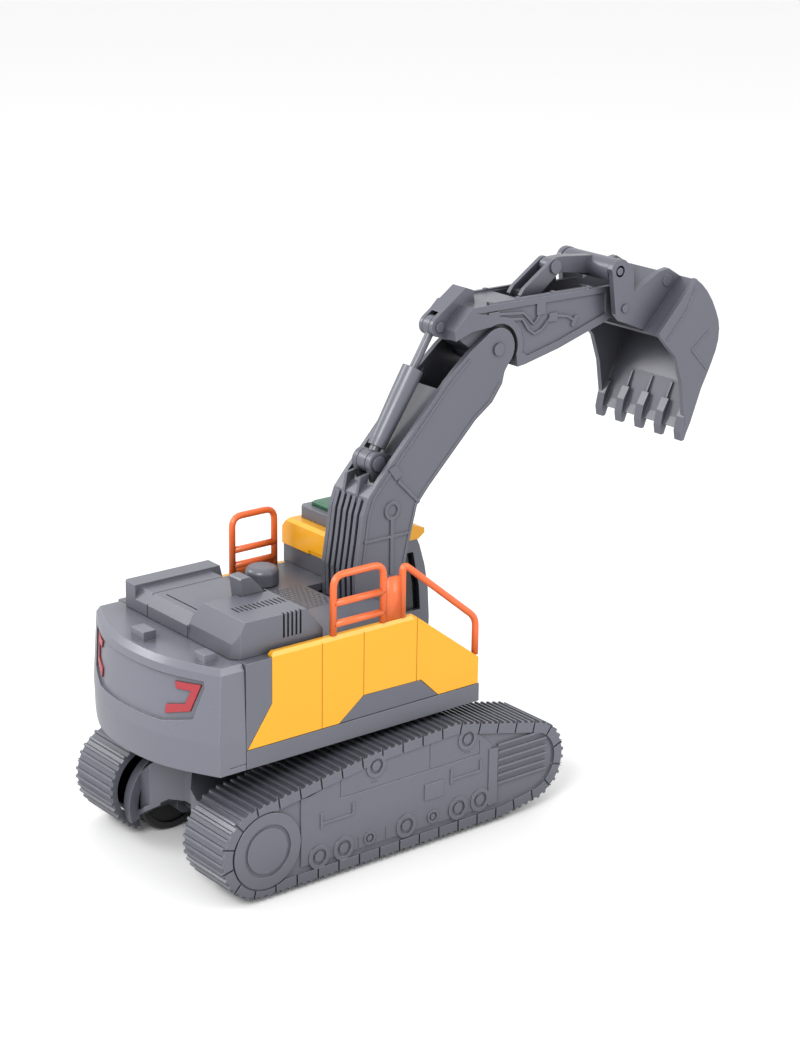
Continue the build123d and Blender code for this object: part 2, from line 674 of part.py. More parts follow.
def rounded_frame(x0, x1, z0, z1, r):
    """Upright frame with rounded top corners."""
    points = [(x0, z0), (x1, z0)]
    points += arc((x1 - r, z1 - r), r, 0, 90, 6)
    points += arc((x0 + r, z1 - r), r, 90, 180, 6)
    return points


with BuildPart() as handrail_right:
    prism_y(rounded_frame(-27.8, -2.8, 90.3, 113.6, 4.2), -RAIL_OUT, -RAIL_IN)
    prism_y(rounded_frame(-25.2, -5.4, 103.2, 111.0, 2.0), -50, -30, mode=Mode.SUBTRACT)
    block(-25.2, -5.4, -50, -30, 95.4, 100.6, mode=Mode.SUBTRACT)
    block(-25.2, -5.4, -50, -30, 89, 92.8, mode=Mode.SUBTRACT)
    block(-2.9, 3.6, -RAIL_OUT + 0.3, -RAIL_IN - 0.3, 90.3, 106.6)
    front = [(3.4, 90.3), (3.4, 107.4), (4.6, 109.8), (7.0, 110.2), (39.6, 83.0), (41.0, 80.2)]
    front += [(41.0, 67.2), (38.4, 68.6), (38.4, 79.8), (37.6, 81.3), (8.2, 105.8), (6.0, 104.6)]
    front += [(6.0, 90.3)]
    prism_y(front, -RAIL_OUT, -RAIL_IN)

with BuildPart() as handrail_left:
    prism_y(rounded_frame(-16.2, 6.0, 88.4, 112.2, 4.2), RAIL_IN, RAIL_OUT)
    prism_y(rounded_frame(-13.6, 3.4, 98.8, 109.6, 2.0), 30, 50, mode=Mode.SUBTRACT)
    block(-13.6, 3.4, 30, 50, 92.9, 96.2, mode=Mode.SUBTRACT)

# ---------------------------------------------------------------- cab

CAB_SIDE = [(CAB_REAR, 56.2), (60.8, 56.2), (61.0, 62.0), (60.2, 74.0), (58.4, 84.0), (55.6, 93.0)]
CAB_SIDE += [(54.4, ROOF_Z - 0.1), (CAB_REAR, ROOF_Z - 0.1)]
CAB_ROOM = [(12.2, 58.4), (58.6, 58.4), (58.8, 62.0), (58.0, 74.0), (56.2, 84.0), (53.6, 92.0)]
CAB_ROOM += [(53.0, 93.6), (12.2, 93.6)]
GLASS_SIDE = [(12.5, 58.7), (58.3, 58.7), (58.5, 62.0), (57.7, 74.0), (55.9, 83.8), (53.3, 91.8)]
GLASS_SIDE += [(52.7, 93.3), (12.5, 93.3)]

with BuildPart() as cab_shell:
    prism_y(CAB_SIDE, CAB_IN, HALF_W)
    prism_y(CAB_ROOM, CAB_IN + 2.0, HALF_W - 2.0, mode=Mode.SUBTRACT)
    # Side windows and door glass
    door = [(38.0, 66.0), (56.4, 66.0), (55.6, 76.0), (52.4, 90.6), (38.0, 90.6)]
    rear_light = [(17.0, 76.0), (34.6, 76.0), (34.6, 90.6), (17.0, 90.6)]
    for outline in (door, rear_light):
        prism_y(outline, CAB_IN - 1, HALF_W + 1, mode=Mode.SUBTRACT)
    # Windscreen
    screen = [(CAB_IN + 3.2, 64.0), (HALF_W - 3.2, 64.0), (HALF_W - 3.2, 90.6), (CAB_IN + 3.2, 90.6)]
    prism_x(screen, 50, 66, mode=Mode.SUBTRACT)

with BuildPart() as cab_glazing:
    prism_y(GLASS_SIDE, CAB_IN + 2.2, HALF_W - 2.2)
    hollow = [(14.0, 60.2), (56.8, 60.2), (56.9, 62.0), (56.2, 74.0), (54.4, 83.8), (51.6, 91.8)]
    prism_y(hollow + [(14.0, 91.8)], CAB_IN + 3.7, HALF_W - 3.7, mode=Mode.SUBTRACT)

ROOF_SIDE = [(9.6, ROOF_Z), (9.6, 105.2), (11.0, 106.4), (40.0, 106.0), (52.0, 101.6), (57.8, 99.6)]
ROOF_SIDE += [(57.8, 97.6), (54.8, ROOF_Z)]

with BuildPart() as cab_roof:
    prism_y(ROOF_SIDE, CAB_IN - 0.2, HALF_W + 0.2)
    prism_x([(12, 107), (12, 102.5), (15.2, 107)], 0, 70, mode=Mode.SUBTRACT)
    prism_x([(42, 107), (42, 101.5), (37.4, 107)], 0, 70, mode=Mode.SUBTRACT)
    block(9.0, 10.1, CAB_IN - 1, 24, 90, 97.0, mode=Mode.SUBTRACT)
    block(13.0, 50.0, CAB_IN + 3, HALF_W - 3, 95, 101.8, mode=Mode.SUBTRACT)

with BuildPart() as button_housing:
    block(14.5, 34.5, 15.2, 36.8, 106.5, 111.2)
    chamfer(button_housing.edges().filter_by(Axis.Z), 1.6)
    block(17.9, 31.1, 18.2, 33.8, 107.4, 112, mode=Mode.SUBTRACT)

with BuildPart() as button:
    block(18.2, 30.8, 18.5, 33.5, 109.6, 113.2)
    chamfer(button.faces().sort_by(Axis.Z)[-1].edges(), 0.8)
    rod_z(24.5, 26, 3.6, 109.4, 111.8, mode=Mode.SUBTRACT)

with BuildPart() as button_spring:
    turn = Helix(pitch=1.1, height=3.6, radius=2.3, center=(24.5, 26, 107.8))
    with BuildSketch(Plane(origin=turn @ 0, z_dir=turn % 0)):
        Circle(0.28)
    sweep(path=turn)

# ---------------------------------------------------------------- boom

BACK_RIM = [(8.9, 98.0), (10.4, 109.8), (11.6, 119.2), (14.0, 125.4), (19.2, 131.4)]
BACK_RIM += [(49.4, 163.4), (59.0, 171.6)]
BELLY_RIM = [(28.4, 98.0), (30.6, 107.6), (33.8, 119.9), (39.8, 126.9), (61.9, 148.9)]
BELLY_RIM += [(69.6, 154.3), (74.2, 160.6)]
KNEE_PAD = [(20.7, 135.6), (24.0, 136.9), (27.4, 132.8), (24.2, 130.7)]

with BuildPart() as boom:
    body = arc(BOOM_FOOT, 9.5, 190, 350, 12)
    body += [(28.6, 83.0), (29.0, 95.5), (31.5, 107.4), (34.7, 119.5), (40.5, 126.0), (62.6, 147.9)]
    body += [(70.5, 153.4), (75.3, 160.0), (76.4, 164.6)]
    body += arc(STICK_PIVOT, 8.2, -48, 118, 12)
    body += [(58.9, 174.4), (47.9, 165.2), (16.5, 132.0), (11.4, 126.2), (8.9, 119.5)]
    body += [(7.6, 109.8), (5.7, 97.6), (6.0, 84.0)]
    prism_y(body, -BOOM_HALF, BOOM_HALF)
    # Hollow between the side plates, open on top near the stick
    room = [(9.0, 88.0), (8.6, 97.0), (10.4, 110.0), (12.2, 117.5), (15.4, 123.4), (47.6, 157.6)]
    room += [(47.6, 168.0), (60.0, 190.0), (90.0, 190.0), (90.0, 163.4), (73.6, 163.4), (72.9, 160.8)]
    room += [(69.0, 155.6), (61.0, 149.8), (38.8, 127.4), (32.9, 120.6), (29.6, 108.0), (27.0, 96.0)]
    room += [(26.6, 88.0)]
    prism_y(room, -8.2, 8.2, mode=Mode.SUBTRACT)
    # Sunk back web between the rims
    trench = [(14.6, 130.0), (16.5, 132.2), (50.0, 167.6), (51.9, 165.8), (18.4, 130.2), (16.6, 128.0)]
    prism_y(trench, -8.4, 8.4, mode=Mode.SUBTRACT)
    bay = [(-1, 84.0), (7.2, 84.0), (7.0, 97.6), (8.7, 109.8), (10.0, 119.5), (11.6, 124.4)]
    bay += [(9.0, 126.0), (-1, 126.0)]
    prism_y(bay, -8.4, 8.4, mode=Mode.SUBTRACT)
    # Hose ribs down the back
    for y in (-6.6, -3.3, 0.0, 3.3, 6.6):
        rib = [(5.6, 85.0), (5.2, 97.6), (7.1, 109.8), (8.4, 119.5), (10.4, 125.6), (12.2, 125.4)]
        rib += [(10.5, 119.5), (9.2, 109.8), (7.6, 97.6), (7.6, 85.0)]
        prism_y(rib, y - 0.9, y + 0.9)
    # Lugs for the cylinder foot
    for low, high in both_sides(2.7, 5.2):
        rod_y(*CYL_FOOT, 4.3, low, high)
        prism_y([(18.1, 129.1), (27.0, 138.6), (22.4, 140.3), (16.2, 134.8)], low, high)
    rod_y(*CYL_FOOT, 5.2, -2.7, 2.7, mode=Mode.SUBTRACT)
    rod_y(*CYL_FOOT, 1.32, -6, 6, mode=Mode.SUBTRACT)
    # Pivot bores
    rod_y(*BOOM_FOOT, 2.0 + RUN, -12, 12, mode=Mode.SUBTRACT)
    rod_y(*STICK_PIVOT, 1.82, -12, 12, mode=Mode.SUBTRACT)
    # Ring boss and raised lines on both flanks
    for low, high in both_sides(BOOM_HALF - 0.2, BOOM_HALF + 0.5):
        rod_y(22.6, 119.5, 3.6, low, high)
        dish = (low - 0.1, low + 0.5) if low < 0 else (high - 0.5, high + 0.1)
        rod_y(22.6, 119.5, 2.4, *dish, mode=Mode.SUBTRACT)
        block(21.8, 23.4, low, high, 94.5, 116.6)
        block(9.6, 30.4, low, high, 108.9, 109.9)
        prism_y(KNEE_PAD, low, high)
        prism_y(ribbon([(25.2, 130.5), (35.4, 120.4)], 1.2), low, high)
    for low, high in both_sides(BOOM_HALF - 0.2, BOOM_HALF + 0.3):
        prism_y(ribbon(BACK_RIM, 0.9), low, high)
        prism_y(ribbon(BELLY_RIM, 0.9), low, high)
    # Gussets under the cylinder lugs
    for low, high in both_sides(3.3, 4.6):
        prism_y([(10.4, 123.2), (12.2, 132.8), (16.6, 133.6), (14.5, 127.4)], low, high)

with BuildPart() as boom_pin:
    rod_y(*BOOM_FOOT, 2.0, -13.0, 13.0)

with BuildPart() as stick_pin:
    rod_y(*STICK_PIVOT, 1.8, -10.9, 10.9)
    for low, high in both_sides(10.45, 11.2):
        rod_y(*STICK_PIVOT, 2.4, low, high)

with BuildPart() as cylinder_pin:
    rod_y(*CYL_FOOT, 1.3, -5.3, 5.3)
    for low, high in both_sides(5.25, 6.0):
        rod_y(*CYL_FOOT, 2.9, low, high)

# ---------------------------------------------------------------- hydraulic cylinder

CYL_LEN = hypot(ROD_END[0] - CYL_FOOT[0], ROD_END[1] - CYL_FOOT[1])
CYL_DIR = ((ROD_END[0] - CYL_FOOT[0]) / CYL_LEN, 0, (ROD_END[1] - CYL_FOOT[1]) / CYL_LEN)
ROD_R = 1.6
BARREL_END = 38.0


def along(distance):
    """Plane square to the cylinder, distance from its foot pivot."""
    x = CYL_FOOT[0] + CYL_DIR[0] * distance
    z = CYL_FOOT[1] + CYL_DIR[2] * distance
    return Plane(origin=(x, 0, z), x_dir=(0, 1, 0), z_dir=CYL_DIR)


def ring(distance, r):
    with BuildSketch(along(distance)) as disc:
        Circle(r)
    return disc.sketch


with BuildPart() as cylinder_barrel:
    loft([ring(5.8, 3.4), ring(9.0, 3.6), ring(BARREL_END - 10, 4.1), ring(BARREL_END, 4.2)], ruled=True)
    rod_y(*CYL_FOOT, 4.3, -2.3, 2.3)
    extrude(ring(2.0, 2.2), amount=5.0)
    extrude(ring(9.0, ROD_R + RUN), amount=40, mode=Mode.SUBTRACT)
    rod_y(*CYL_FOOT, 1.3 + RUN, -6, 6, mode=Mode.SUBTRACT)

with BuildPart() as cylinder_rod:
    extrude(ring(17.5, ROD_R), amount=CYL_LEN - 17.5 - 2.0)
    rod_y(*ROD_END, 3.9, -1.7, 1.7)
    rod_y(*ROD_END, 2.5, -3, 3, mode=Mode.SUBTRACT)

# ---------------------------------------------------------------- stick

UPPER_HOSE = [(73.0, 187.1), (85.1, 186.0), (88.2, 183.3), (90.4, 181.0), (92.4, 182.6), (93.4, 184.5)]
LOWER_HOSE = [(73.0, 184.9), (84.7, 183.7), (87.9, 179.2), (91.0, 177.1), (94.6, 178.3), (98.5, 181.9)]
LOWER_HOSE += [(102.5, 182.6), (107.7, 181.7), (111.6, 179.4)]

with BuildPart() as stick:
    # Full-width box in front of the boom tip
    box = [(52.1, 179.6), (51.6, 183.6), (59.9, 191.3), (130.1, 190.8), (130.4, 178.4)]
    box += [(128.6, 177.1), (103.9, 169.7), (86.9, 165.9), (82.9, 165.4)]
    box += arc(STICK_PIVOT, 9.8, -20, 112, 14)
    box += [(60.0, 182.2)]
    prism_y(box, -BOOM_HALF, BOOM_HALF)
    # Narrow core running into the boom tip
    core = [(54.6, 181.0), (56.6, 178.4), (66.0, 172.0)]
    core += arc(STICK_PIVOT, 7.0, 200, 300, 6)
    core += [(84.5, 167.4), (90.0, 172.0), (90.0, 188.0), (56.0, 188.0)]
    prism_y(core, -CORE_HALF, CORE_HALF)
    # Bucket nose
    rod_y(*BUCKET_PIVOT, 5.0, -BOOM_HALF, BOOM_HALF)
    # Channel for the lever, open on top and at the front
    channel = [(85.0, 175.0), (112.0, 176.0), (131.0, 181.0), (131.0, 200.0), (85.0, 200.0)]
    prism_y(channel, -8.6, 8.6, mode=Mode.SUBTRACT)
    rod_y(*BUCKET_PIVOT, 5.0, -8.0, 8.0)
    for low, high in both_sides(4.4, 8.7):
        rod_y(*LEVER_FOOT, 3.6, low, high)
        prism_y([(93.4, 174.0), (100.6, 174.0), (100.6, 181.5), (93.4, 181.5)], low, high)
    # Bracket for the cylinder rod
    ear = arc(ROD_END, 3.9, 125, 262, 8)
    ear += [(53.4, 178.7), (58.0, 179.0), (66.4, 184.0), (66.4, 190.6), (65.6, 196.2), (61.8, 197.6)]
    prism_y(ear, -3.8, 3.8)
    rod_y(*ROD_END, 5.4, -2.0, 2.0, mode=Mode.SUBTRACT)
    cut = [(44.0, 188.0), (40.0, 176.0), (40.0, 165.0), (55.0, 165.0), (55.2, 184.2), (51.0, 189.6)]
    prism_y(cut, -2.0, 2.0, mode=Mode.SUBTRACT)
    # Sunk flanks with a rim, and raised hose lines
    flank = [(62.0, 188.8), (127.6, 188.4), (127.8, 180.2), (103.0, 172.6), (87.6, 169.0)]
    flank += arc(STICK_PIVOT, 12.4, -14, 84, 10)
    for low, high in both_sides(BOOM_HALF - 0.7, BOOM_HALF + 1):
        prism_y(flank, low, high, mode=Mode.SUBTRACT)
    for low, high in both_sides(BOOM_HALF - 0.8, BOOM_HALF):
        block(67.9, 73.1, low, high, 183.6, 188.2)
        block(92.0, 96.4, low, high, 184.2, 188.6)
        block(98.4, 102.5, low, high, 180.7, 183.9)
        prism_y(ribbon(UPPER_HOSE, 0.9), low, high)
        prism_y(ribbon(LOWER_HOSE, 0.9), low, high)
        prism_y(ribbon([(112.6, 181.2), (110.6, 177.4)], 1.6), low, high)
    # Pipes with clamps along the top edges
    for low, high in both_sides(8.8, 10.2):
        block(68.0, 118.6, low, high, 190.4, 192.0)
        for x in (68.0, 82.0, 99.5, 117.0):
            block(x, x + 1.6, low - 0.1, high + 0.1, 190.4, 192.4)
    # Pivot bores
    rod_y(*STICK_PIVOT, 1.8 + RUN, -12, 12, mode=Mode.SUBTRACT)
    rod_y(*ROD_END, 1.32, -6, 6, mode=Mode.SUBTRACT)
    rod_y(*LEVER_FOOT, 1.32, -9.0, 9.0, mode=Mode.SUBTRACT)
    rod_y(*BUCKET_PIVOT, 1.62, -12, 12, mode=Mode.SUBTRACT)

with BuildPart() as rod_end_pin:
    rod_y(*ROD_END, 1.3, -3.9, 3.9)
    for low, high in both_sides(3.85, 4.4):
        rod_y(*ROD_END, 1.9, low, high)

with BuildPart() as lever_pin:
    rod_y(*LEVER_FOOT, 1.3, -8.5, 8.5)

with BuildPart() as bucket_pin:
    rod_y(*BUCKET_PIVOT, 1.6, -16.6, 16.6)

# ---------------------------------------------------------------- lever, link and bucket

with BuildPart() as lever:
    crank = arc(LEVER_TOP, 3.2, -60, 130, 10)
    crank += [(91.0, 193.6), (88.9, 191.0), (89.4, 188.2)]
    crank += arc(LEVER_FOOT, 3.2, 200, 400, 10)
    crank += [(95.0, 187.4)]
    for low, high in both_sides(2.3, 4.1):
        prism_y(crank, low, high)
    block(91.4, 95.0, -2.6, 2.6, 189.4, 192.0)
    rod_y(*LEVER_FOOT, 1.3 + RUN, -9, 9, mode=Mode.SUBTRACT)
    rod_y(*LEVER_TOP, 1.32, -9, 9, mode=Mode.SUBTRACT)

with BuildPart() as lever_top_pin:
    rod_y(*LEVER_TOP, 1.3, -4.2, 4.2)
    for low, high in both_sides(4.15, 4.9):
        rod_y(*LEVER_TOP, 2.6, low, high)

STUB_R = 1.5
STUB_PLAY = 0.8

with BuildPart() as link:
    bar = arc(LEVER_TOP, 3.0, 95, 265, 8)
    bar += [(112.0, 196.8), (125.0, 195.0), (129.0, 201.6), (112.0, 203.2)]
    prism_y(bar, -2.0, 2.0)
    rod_y(*TUBE, 4.6, -13.2, 13.2)
    rod_y(*TUBE, STUB_R, -15.9, 15.9)
    rod_y(*LEVER_TOP, 1.3 + RUN, -9, 9, mode=Mode.SUBTRACT)

BACK_CURVE = [(162.7, 191.6), (165.8, 189.3), (168.7, 186.4), (171.8, 182.2), (174.2, 177.7), (175.9, 173.8)]
BACK_CURVE += [(176.6, 170.2), (176.4, 165.6), (175.2, 161.2), (172.1, 154.4), (168.2, 147.0), (163.0, 133.6)]
SHELL_OUT = [(143.4, 171.8)] + BACK_CURVE + [(161.2, 130.0)]
SHELL_IN = [(159.2, 130.8), (161.0, 134.4), (166.2, 147.8), (173.2, 161.9), (174.3, 170.2)]
SHELL_IN += [(172.1, 176.6), (166.6, 185.0), (162.6, 188.4), (145.2, 170.4)]
SIDE_PLATE = [(143.4, 171.8)] + BACK_CURVE + [(160.0, 132.6), (157.3, 150.0), (153.4, 161.2)]
SIDE_LINES = (
    [(147.5, 169.2), (158.0, 180.4), (162.4, 189.0)],
    [(161.5, 163.5), (171.2, 170.2)],
    [(161.5, 163.5), (170.6, 154.2)],
)
EAR_IN = 13.5
EAR_OUT = 16.0
TEETH = 5

with BuildPart() as bucket:
    prism_y(SHELL_OUT + SHELL_IN, -BUCKET_HALF, BUCKET_HALF)
    for low, high in both_sides(BUCKET_HALF - BUCKET_T, BUCKET_HALF):
        prism_y(SIDE_PLATE, low, high)
        # Raised strip along the side of the flat plate
        prism_y([(144.4, 171.4), (163.4, 191.0), (162.3, 192.1), (142.9, 172.3)], low, high)
    for low, high in both_sides(BUCKET_HALF - 0.2, BUCKET_HALF + 0.25):
        for line in SIDE_LINES:
            prism_y(ribbon(line, 0.7), low, high)
    # Pointed ribs behind the teeth
    for i in range(TEETH):
        y = -BUCKET_HALF + 2.1 + i * (2 * BUCKET_HALF - 4.2) / (TEETH - 1)
        wedge = [(162.4, 136.0), (166.4, 146.4), (165.2, 147.2), (159.8, 135.6)]
        prism_y(wedge, y - 0.45, y + 0.45)
    # Ears with the notch, standing on the flat back plate
    ears = [(128.0, 180.6), (125.6, 196.6)] + arc(TUBE, 4.9, 165, 40, 6)
    ears += [(136.6, 198.6), (137.3, 188.4), (150.6, 194.8), (155.6, 195.6), (162.4, 191.6)]
    ears += [(163.0, 191.0), (144.6, 172.0), (139.5, 174.1), (131.4, 177.2)]
    for low, high in both_sides(EAR_IN, EAR_OUT):
        prism_y(ears, low, high)
        rod_y(155.0, 190.9, 2.4, low - 0.4, high + 0.4)
    rod_y(*TUBE, STUB_R + STUB_PLAY, -20, 20, mode=Mode.SUBTRACT)
    rod_y(*BUCKET_PIVOT, 1.6 + RUN, -20, 20, mode=Mode.SUBTRACT)
    # Teeth
    tooth = [(163.4, 134.6), (161.4, 130.4), (159.9, 126.6), (158.5, 126.4), (157.8, 130.2)]
    tooth += [(159.0, 136.0), (161.8, 141.0), (164.6, 139.0)]
    for i in range(TEETH):
        y = -BUCKET_HALF + 2.1 + i * (2 * BUCKET_HALF - 4.2) / (TEETH - 1)
        prism_y(tooth, y - 2.0, y + 2.0)

PIECES = {
    "chassis_frame": chassis_frame,
    "chassis_cover": chassis_cover,
    "track_right": track_right,
    "track_left": track_left,
    "slew_collar": slew_collar,
    "slew_screw": slew_screw,
    "rear_axle": axle(WHEEL_X[0]),
    "rear_wheel_right": wheel(WHEEL_X[0], -1),
    "rear_wheel_left": wheel(WHEEL_X[0], 1),
    "front_axle": axle(WHEEL_X[1]),
    "front_wheel_right": wheel(WHEEL_X[1], -1),
    "front_wheel_left": wheel(WHEEL_X[1], 1),
    "house_base": house_base,
    "battery_cover": battery_cover,
    "battery_box": battery_box,
    "battery_screw": battery_screw,
    "battery_cell_1": cell(-47.4),
    "battery_cell_2": cell(-32.6),
    "sound_board": sound_board,
    "speaker": speaker,
    "counterweight": counterweight,
    "taillight_right": taillight_right,
    "taillight_left": taillight_left,
    "deck": deck,
    "hood": hood,
    "exhaust_stack": exhaust_stack,
    "filler_cap": filler_cap,
    "panel_right": panel_right,
    "panel_left": panel_left,
    "insert_right": insert_right,
    "insert_left": insert_left,
    "handrail_right": handrail_right,
    "handrail_left": handrail_left,
    "cab_shell": cab_shell,
    "cab_glazing": cab_glazing,
    "cab_roof": cab_roof,
    "button_housing": button_housing,
    "button": button,
    "button_spring": button_spring,
    "boom": boom,
    "boom_pin": boom_pin,
    "stick_pin": stick_pin,
    "cylinder_pin": cylinder_pin,
    "cylinder_barrel": cylinder_barrel,
    "cylinder_rod": cylinder_rod,
    "stick": stick,
    "rod_end_pin": rod_end_pin,
    "lever_pin": lever_pin,
    "bucket_pin": bucket_pin,
    "lever": lever,
    "lever_top_pin": lever_top_pin,
    "link": link,
    "bucket": bucket,
}
PIECES.update(chassis_screws)
PIECES.update(house_screws)

for name, piece in PIECES.items():
    save(piece, name)
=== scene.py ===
"""Looks of the toy excavator: plastics, softened edges, round handrails and a white studio."""

import json
import math

import bpy
import bmesh
from mathutils import Matrix, Vector


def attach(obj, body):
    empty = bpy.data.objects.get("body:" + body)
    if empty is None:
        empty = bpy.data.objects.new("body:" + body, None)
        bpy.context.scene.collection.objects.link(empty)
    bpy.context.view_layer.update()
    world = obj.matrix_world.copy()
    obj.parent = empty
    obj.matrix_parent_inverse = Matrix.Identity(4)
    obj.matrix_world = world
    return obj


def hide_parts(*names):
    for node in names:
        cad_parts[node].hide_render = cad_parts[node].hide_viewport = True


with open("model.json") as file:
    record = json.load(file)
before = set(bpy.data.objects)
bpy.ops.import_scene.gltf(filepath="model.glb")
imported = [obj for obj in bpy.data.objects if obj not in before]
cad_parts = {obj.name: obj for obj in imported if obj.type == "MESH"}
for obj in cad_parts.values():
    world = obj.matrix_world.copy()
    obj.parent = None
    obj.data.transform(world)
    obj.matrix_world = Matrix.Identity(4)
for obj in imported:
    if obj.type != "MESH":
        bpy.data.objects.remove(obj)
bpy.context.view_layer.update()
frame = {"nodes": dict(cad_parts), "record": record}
NODES = frame["nodes"]
MM = 0.001

# ---------------------------------------------------------------- camera

scene = bpy.context.scene
scene.view_settings.view_transform = "Standard"
YAW = math.radians(51.24)
PITCH = math.radians(-18.24)
ROLL = math.radians(0.794)
EYE = Vector((-0.54646, -0.670, 0.3926))
LENS = 82.18738
SENSOR = 36.0


def add_camera():
    forward = Vector(
        (math.cos(PITCH) * math.cos(YAW), math.cos(PITCH) * math.sin(YAW), math.sin(PITCH))
    )
    level = Vector((math.sin(YAW), -math.cos(YAW), 0.0))
    up = level.cross(forward)
    right = math.cos(ROLL) * level + math.sin(ROLL) * up
    up = right.cross(forward)
    data = bpy.data.cameras.new("camera")
    data.sensor_width = SENSOR
    data.lens = LENS
    data.clip_start = 0.01
    data.clip_end = 20.0
    camera = bpy.data.objects.new("camera", data)
    scene.collection.objects.link(camera)
    turn = Matrix((right, up, -forward)).transposed()
    camera.matrix_world = Matrix.Translation(EYE) @ turn.to_4x4()
    scene.camera = camera


add_camera()

# ---------------------------------------------------------------- materials

# Noise textures: scale and detail
CLOUDS = (28.0, 4.0)
SCUFFS_AND_GLINTS = (260.0, 3.0)
SMEARS = (70.0, 5.0)
GRAIN = (2600.0, 2.0)
GRAIN_DEPTH = 0.00004
SPECULAR = 0.7
ROUGH_SPREAD = 0.07
SMOOTHEST = 0.03
# Shaded (bevelled) edges: radius in mm, and the cosine of the bend where the pale edge, partly
# rubbed wear and partly a painted highlight, starts and is complete
EDGE_RADIUS = 0.32
EDGE_SAMPLES = 4
RUB_HIGHLIGHT_START = 0.985
RUB_HIGHLIGHT_FULL = 0.86
RUB_HIGHLIGHT_GAIN = 1.9
RUB_HIGHLIGHT_LIFT = 0.05
# Painted shade in recesses, from ambient occlusion: reach in metres
PAINTED_SHADE_REACH = 0.024
PAINTED_SHADE_SAMPLES = 6
PAINTED_SHADE_GAIN = 1.6


def plastic(name, colour, rough=0.34, edge=1.5, grain=0.3, variation=0.08, shade=0.5):
    """Moulded plastic: cloudy colour, fine grain, pale edges (rubbed wear and a painted
    highlight) and painted shade in recesses.
    """
    material = bpy.data.materials.new(name)
    material.use_nodes = True
    tree = material.node_tree
    tree.nodes.clear()
    add = tree.nodes.new
    link = tree.links.new
    output = add("ShaderNodeOutputMaterial")
    shader = add("ShaderNodeBsdfPrincipled")
    link(shader.outputs["BSDF"], output.inputs["Surface"])
    shader.inputs["Specular IOR Level"].default_value = SPECULAR
    place = add("ShaderNodeTexCoord")

    def noise(scale, detail):
        texture = add("ShaderNodeTexNoise")
        texture.inputs["Scale"].default_value = scale
        texture.inputs["Detail"].default_value = detail
        link(place.outputs["Object"], texture.inputs["Vector"])
        return texture.outputs["Fac"]

    cloud = noise(*CLOUDS)
    body = add("ShaderNodeMix")
    body.data_type = "RGBA"
    low = [c * (1.0 - variation) for c in colour]
    high = [min(c * (1.0 + variation), 1.0) for c in colour]
    body.inputs["A"].default_value = (*low, 1.0)
    body.inputs["B"].default_value = (*high, 1.0)
    link(cloud, body.inputs["Factor"])

    corner = add("ShaderNodeBevel")
    corner.samples = EDGE_SAMPLES
    corner.inputs["Radius"].default_value = EDGE_RADIUS * MM
    geometry = add("ShaderNodeNewGeometry")
    facing = add("ShaderNodeVectorMath")
    facing.operation = "DOT_PRODUCT"
    link(corner.outputs["Normal"], facing.inputs[0])
    link(geometry.outputs["True Normal"], facing.inputs[1])
    # Pale edges, partly rubbed wear and partly a painted highlight, where the bevelled normal
    # bends away from the true normal
    mask = add("ShaderNodeMapRange")
    mask.inputs["From Min"].default_value = RUB_HIGHLIGHT_START
    mask.inputs["From Max"].default_value = RUB_HIGHLIGHT_FULL
    link(facing.outputs["Value"], mask.inputs["Value"])
    scuff_and_glint = noise(*SCUFFS_AND_GLINTS)
    rub_and_highlight = add("ShaderNodeMath")
    rub_and_highlight.operation = "MULTIPLY"
    link(mask.outputs["Result"], rub_and_highlight.inputs[0])
    link(scuff_and_glint, rub_and_highlight.inputs[1])
    share = add("ShaderNodeMath")
    share.operation = "MULTIPLY"
    share.inputs[1].default_value = edge
    share.use_clamp = True
    link(rub_and_highlight.outputs["Value"], share.inputs[0])
    # Pale edge colour mixed in: partly rubbed wear, partly a painted highlight
    worn_and_highlit = add("ShaderNodeMix")
    worn_and_highlit.data_type = "RGBA"
    worn_highlight_colour = [min(c * RUB_HIGHLIGHT_GAIN + RUB_HIGHLIGHT_LIFT, 1.0) for c in colour]
    worn_and_highlit.inputs["B"].default_value = (*worn_highlight_colour, 1.0)
    link(share.outputs["Value"], worn_and_highlit.inputs["Factor"])
    link(body.outputs["Result"], worn_and_highlit.inputs["A"])

    # Painted shade: base colour darkened in recesses and near other surfaces, where ambient
    # occlusion finds them
    recess_shade = add("ShaderNodeAmbientOcclusion")
    recess_shade.samples = PAINTED_SHADE_SAMPLES
    recess_shade.inputs["Distance"].default_value = PAINTED_SHADE_REACH
    painted_shade = add("ShaderNodeMapRange")
    painted_shade.inputs["To Min"].default_value = 1.0 - shade * PAINTED_SHADE_GAIN
    painted_shade.inputs["To Max"].default_value = 1.0
    link(recess_shade.outputs["AO"], painted_shade.inputs["Value"])
    shaded_colour = add("ShaderNodeVectorMath")
    shaded_colour.operation = "SCALE"
    link(worn_and_highlit.outputs["Result"], shaded_colour.inputs[0])
    link(painted_shade.outputs["Result"], shaded_colour.inputs["Scale"])
    link(shaded_colour.outputs["Vector"], shader.inputs["Base Color"])

    smear = noise(*SMEARS)
    satin = add("ShaderNodeMapRange")
    satin.inputs["To Min"].default_value = max(rough - ROUGH_SPREAD, SMOOTHEST)
    satin.inputs["To Max"].default_value = rough + ROUGH_SPREAD
    link(smear, satin.inputs["Value"])
    link(satin.outputs["Result"], shader.inputs["Roughness"])

    fine = noise(*GRAIN)
    bump = add("ShaderNodeBump")
    bump.inputs["Strength"].default_value = grain
    bump.inputs["Distance"].default_value = GRAIN_DEPTH
    link(fine, bump.inputs["Height"])
    link(corner.outputs["Normal"], bump.inputs["Normal"])
    link(bump.outputs["Normal"], shader.inputs["Normal"])
    return material


